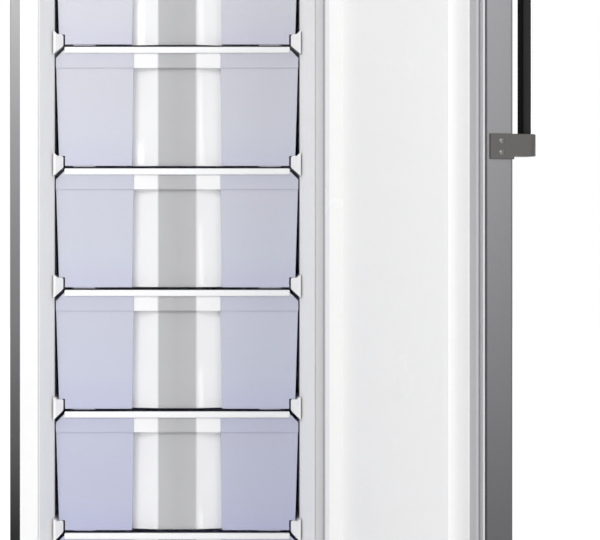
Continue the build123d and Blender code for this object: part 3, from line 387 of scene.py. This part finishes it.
compressor_shell = turned_piece("compressor_shell", profile, (shell_x, shell_y), enamel, "cabinet")
half_x, half_y, bend = (shell_high.x - shell_low.x) / 2, 0.056, 0.013
outline = []
for corner_x, corner_y, first in ((1, 1, 0), (-1, 1, 90), (-1, -1, 180), (1, -1, 270)):
    for step in range(7):
        turn = radians(first + 15 * step)
        spot_x = shell_x + corner_x * (half_x - bend) + bend * cos(turn)
        outline.append((spot_x, shell_y + corner_y * (half_y - bend) + bend * sin(turn)))
count = len(outline)
plate_points = [(x, y, shell_low.z) for x, y in outline] + [(x, y, plate_top) for x, y in outline]
plate_faces = [tuple(range(count))[::-1], tuple(range(count, 2 * count))]
plate_faces += [(i, (i + 1) % count, count + (i + 1) % count, count + i) for i in range(count)]
foot_plate = add_piece("compressor_foot_plate", plate_points, plate_faces, enamel, "cabinet")
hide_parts("compressor")
coat(rubber, "compressor_mounts")
coat(black_plastic, "starter_box", "power_inlet")
ease_edges(0.001, "starter_box", "power_inlet")
copper = finish("drawn_copper", (0.62, 0.28, 0.17), tone=0.18, grain=80, rough=0.35, Metallic=1.0)
coat(copper, "filter_drier", "refrigerant_pipes")

# Top cover and fascia: grained grey mouldings, with a dark window and three pale push buttons.
coat(grey_plastic, "top_cover", "control_fascia")
ease_edges(0.0008, "control_fascia", "top_cover")
window_film = finish("dark_window", (0.01, 0.01, 0.012), tone=0.2, grain=30, rough=0.1, rough_spread=0.04)
coat(window_film, "display_window")
button_plastic = finish("button_plastic", (0.5, 0.5, 0.51), grain=900, rough=0.5)
coat(button_plastic, "power_button", "alarm_button", "fast_freeze_button")
ease_edges(0.0003, "display_window")

# Hinges: plated steel brackets screwed to the cabinet's front, with pins in plastic bushes.
coat(bright_steel, "hinge_pin_lower", "hinge_pin_upper", "hinge_bracket_lower", "hinge_bracket_upper")
coat(black_plastic, "hinge_bush_lower", "hinge_bush_upper")
ease_edges(0.0006, "hinge_bracket_lower", "hinge_bracket_upper")
hinge_screw_offset, hinge_screw_y, hinge_screw_radius = 0.015, -0.284, 0.0048
for end in ("lower", "upper"):
    low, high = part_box(f"hinge_bracket_{end}")
    level = low.z + 0.010 if end == "lower" else high.z - 0.014
    for side, side_name in ((-1, "left"), (1, "right")):
        spot = ((low.x + high.x) / 2 + side * hinge_screw_offset, hinge_screw_y, level)
        name = f"hinge_screw_{end}_{side_name}"
        screw_head(name, spot, (1, 0, 0), (0, 0, 1), hinge_screw_radius, bright_steel, "cabinet")

# Door: a folded steel skin in the cabinet's silver coat, painted darker towards the floor as a painted
# reflection, closed by a grey cap at each end.
# It hangs open, so places on it are given as on the closed door and turned about the hinge.
hinge = next(joint for joint in frame["joints"] if joint["name"] == "door_hinge")
hinge_x, hinge_y = hinge["pos_m"][0], hinge["pos_m"][1]
open_turn = radians(109.0)


def on_door(x, y, z):
    """A place on the open door from its place on the closed one."""
    dx, dy = x - hinge_x, y - hinge_y
    open_x = hinge_x + dx * cos(open_turn) - dy * sin(open_turn)
    open_y = hinge_y + dx * sin(open_turn) + dy * cos(open_turn)
    return (open_x, open_y, z)


door_steel = finish("door_steel", (0.21, 0.21, 0.22), grain=900, rough=0.34, bump=0.04, Metallic=0.55)
# Painted reflection: the door coat's colour is multiplied darker towards the floor, for the darker
# surroundings its satin steel would reflect there.
door_painted_reflection = [(0.0, 0.3), (0.38, 0.36), (0.8, 0.6), (1.34, 0.95), (1.86, 1.0)]
paint_along(door_steel, 2, [(height, grey(level)) for height, level in door_painted_reflection])
coat(door_steel, "door_skin")
ease_edges(0.0004, "door_skin")
coat(grey_plastic, "door_cap_bottom", "door_cap_top")
ease_edges(0.0006, "door_cap_bottom", "door_cap_top")

# Door liner: the same white formed sheet, with a raised dyke round a shallow recess.
door_sheet = finish(
    "door_sheet", (0.9, 0.9, 0.895), tone=0.008, grain=90, rough=0.26, rough_spread=0.05, bump=0.02
)
coat(door_sheet, "door_liner")
ease_edges(0.003, "door_liner", segments=3)

# Gasket: a soft grey extrusion with a flat foot, a folded bellows and a magnet head, mitred into
# one ring round the door's inner side.
gasket_grey = finish("gasket_grey", (0.42, 0.42, 0.44), tone=0.05, grain=500, rough=0.5, bump=0.08)
door_face = -0.292
gasket_half, gasket_low, gasket_high = 0.2887, 0.0693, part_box("door_gasket")[1].z
foot_and_outer_fold = [(0.0030, 0.0000), (0.0022, 0.0016), (0.0040, 0.0034), (0.0058, 0.0048)]
outer_cheek = [(0.0044, 0.0062), (0.0014, 0.0070), (0.0004, 0.0084), (0.0006, 0.0104), (0.0020, 0.0114)]
magnet_face = [(0.0070, 0.0115), (0.0092, 0.0111), (0.0110, 0.0098), (0.0128, 0.0096), (0.0144, 0.0108)]
inner_cheek = [(0.0170, 0.0115), (0.0222, 0.0114), (0.0240, 0.0106), (0.0246, 0.0088), (0.0236, 0.0072)]
inner_fold = [(0.0212, 0.0062), (0.0200, 0.0050), (0.0216, 0.0036), (0.0230, 0.0018), (0.0224, 0.0000)]
section = foot_and_outer_fold + outer_cheek + magnet_face + inner_cheek + inner_fold
corner_steps = 6
points, faces = [], []
for inset, height in section:
    bend = max(0.009 - inset * 0.3, 0.003)
    half, low, high = gasket_half - inset, gasket_low + inset, gasket_high - inset
    for corner_x, corner_z, first in ((1, high, 0), (-1, high, 90), (-1, low, 180), (1, low, 270)):
        inward = -1 if corner_z == high else 1
        for step in range(corner_steps + 1):
            turn = radians(first + 90 * step / corner_steps)
            x = corner_x * (half - bend) + bend * cos(turn)
            z = corner_z + inward * bend + bend * sin(turn)
            points.append(on_door(x, door_face + height, z))
ring = 4 * (corner_steps + 1)
for row in range(len(section)):
    low, high = row * ring, (row + 1) % len(section) * ring
    for spot in range(ring):
        after = (spot + 1) % ring
        faces.append((low + spot, low + after, high + after, high + spot))
gasket_ring = add_piece("gasket_ring", points, faces, gasket_grey, "door", smooth=60.0)
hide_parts("door_gasket")

# Handle: two dark die-cast brackets screwed to the door's free edge, and a satin black bar with a
# pale metal strip along its outer face.
casting = finish("dark_casting", (0.06, 0.056, 0.052), tone=0.12, grain=700, rough=0.48, bump=0.14)
coat(casting, "handle_bracket_lower", "handle_bracket_upper")
ease_edges(0.0012, "handle_bracket_lower", "handle_bracket_upper", segments=3)
handle_black = finish(
    "handle_black", (0.002, 0.002, 0.002), tone=0.2, grain=900, rough=0.5, Specular_IOR_Level=0.2
)
handle_light = finish("handle_light", (0.88, 0.88, 0.89), grain=700, rough=0.35, Metallic=0.9)
coat(handle_black, "handle_grip")
coat(handle_light, "handle_trim")
screw_steel = finish("dull_screw", (0.2, 0.195, 0.19), tone=0.1, grain=300, rough=0.4, Metallic=0.8)
door_depthwise = [far - near for far, near in zip(on_door(0, 1, 0), on_door(0, 0, 0))]
handle_screw_x, handle_screw_y, handle_screw_offset = -0.303, -0.315, 0.0085
handle_screw_radius = 0.0042
for end in ("lower", "upper"):
    low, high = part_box(f"handle_bracket_{end}")
    middle = (low.z + high.z) / 2
    for number, side in enumerate((-1, 1), start=1):
        spot = on_door(handle_screw_x, handle_screw_y, middle + side * handle_screw_offset)
        name = f"handle_screw_{end}_{number}"
        screw_head(name, spot, (0, 0, 1), door_depthwise, handle_screw_radius, screw_steel, "door")

# Drawers: frosted bins of lavender-white plastic with a pale rim, painted shade that deepens and turns
# bluer towards the bottom of the cabinet and just under each rim, and a painted highlight along each rim;
# and a clear grip panel whose whiter wings are partly milky plastic and partly a painted highlight of
# their curved faces, set against its flat middle. Each slides on its own pair of runners.
drawer_floor, drawer_pitch = 0.158, 0.222
frosted = finish(
    "frosted_plastic",
    (0.93, 0.93, 0.95),
    tone=0.015,
    grain=300,
    rough=0.4,
    bump=0.03,
    Transmission_Weight=0.3,
    IOR=1.49,
)
# Painted shade: the frosted colour darkens and turns bluer towards the bottom of the cabinet, where less
# light reaches.
cabinet_painted_shade = [(0.38, (0.78, 0.8, 0.95)), (0.75, (0.88, 0.9, 0.98)), (1.34, (0.95, 0.95, 0.97))]
cabinet_painted_shade += [(1.8, (0.97, 0.97, 0.98))]
paint_along(frosted, 2, cabinet_painted_shade)
# Painted shade in a band just below each rim, and a painted highlight where the rim catches the light,
# repeated at each drawer's pitch.
bin_painted_shade_and_highlight = [(0.0, (0.84, 0.84, 0.93)), (0.06, (0.87, 0.88, 0.92)), (0.17, (0.86, 0.86, 0.9))]
bin_painted_shade_and_highlight += [(0.205, (0.82, 0.82, 0.88)), (0.2075, (1, 1, 1)), (0.222, (1, 1, 1))]
paint_along(frosted, 2, bin_painted_shade_and_highlight, start=drawer_floor, pitch=drawer_pitch)
clear = finish(
    "clear_plastic",
    (0.97, 0.97, 0.98),
    tone=0.01,
    grain=20,
    rough=0.1,
    rough_spread=0.05,
    bump=0.02,
    IOR=1.49,
)
# The wings are painted white partly for their milky plastic and partly as a painted highlight of their
# curved faces; the flat middle is given a greyer colour.
grip_milk_and_painted_highlight = [(0.0, (0.8, 0.8, 0.81)), (0.0335, (0.84, 0.84, 0.85)), (0.036, (1, 1, 1)), (0.09, (1, 1, 1))]
paint_along(clear, 0, grip_milk_and_painted_highlight, mirrored=True)
clearness = clear.node_tree.nodes.new("ShaderNodeMapRange")
clearness.inputs["From Min"].default_value = 0.033
clearness.inputs["From Max"].default_value = 0.037
clearness.inputs["To Min"].default_value = 0.5
clearness.inputs["To Max"].default_value = 0.12
clear.node_tree.links.new(along(clear, 0, mirrored=True), clearness.inputs["Value"])
clear_shader = clear.node_tree.nodes["Principled BSDF"]
clear.node_tree.links.new(clearness.outputs["Result"], clear_shader.inputs["Transmission Weight"])
for number in range(1, 8):
    coat(frosted, f"drawer_bin_{number}")
    coat(clear, f"drawer_grip_{number}")
    ease_edges(0.0012, f"drawer_bin_{number}", angle=25.0, segments=3)
    ease_edges(0.0008, f"drawer_grip_{number}", angle=25.0)

# Drawer rims: each bin ends at the front in a thick rolled edge across its whole width, coloured white as
# a painted highlight where its rounded face catches the light.
# It is moulded in one with the bin and stands a little proud of the panels.
# Painted highlight: the rim gets a whiter colour than the frosted bin it is moulded with, for the light
# its rounded face catches.
rim_painted_highlight = finish("rim_painted_highlight", (0.88, 0.88, 0.89), tone=0.01, grain=200, rough=0.35, bump=0.03)
rim_rise, rim_height, rim_lap, rim_proud, rim_bend = 0.2172, 0.0115, 0.002, 0.004, 0.0022
rim_middle_drop = 0.0055
rim_stations = [(-0.2055, 0.7), (-0.2045, 1.0), (0.0, 1.0), (0.2045, 1.0), (0.2055, 0.7)]


def rim_outline(front, top):
    """The rim's section in depth and height, with its two front edges rounded."""
    bend_y = front - rim_proud + rim_bend
    outline = [(front + rim_lap, top - rim_height)]
    for turn in [radians(angle) for angle in range(0, 91, 15)]:
        outline.append((bend_y - rim_bend * sin(turn), top - rim_height + rim_bend - rim_bend * cos(turn)))
    for turn in [radians(angle) for angle in range(0, 91, 15)]:
        outline.append((bend_y - rim_bend * cos(turn), top - rim_bend + rim_bend * sin(turn)))
    return outline + [(front + rim_lap, top)]


for number in range(1, 8):
    bin_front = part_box(f"drawer_bin_{number}")[0].y
    rim_top = drawer_floor + (number - 1) * drawer_pitch + rim_rise
    outline = rim_outline(bin_front, rim_top)
    middle = rim_top - rim_middle_drop
    size = len(outline)
    points = [(x, y, middle + (z - middle) * share) for x, share in rim_stations for y, z in outline]
    faces = []
    for step in range(len(rim_stations) - 1):
        low, high = step * size, (step + 1) * size
        for spot in range(size):
            after = (spot + 1) % size
            faces.append((low + spot, low + after, high + after, high + spot))
    faces += [tuple(range(size))[::-1], tuple(range(len(points) - size, len(points)))]
    rim = add_piece(f"drawer_rim_{number}", points, faces, rim_painted_highlight, f"drawer_{number}")
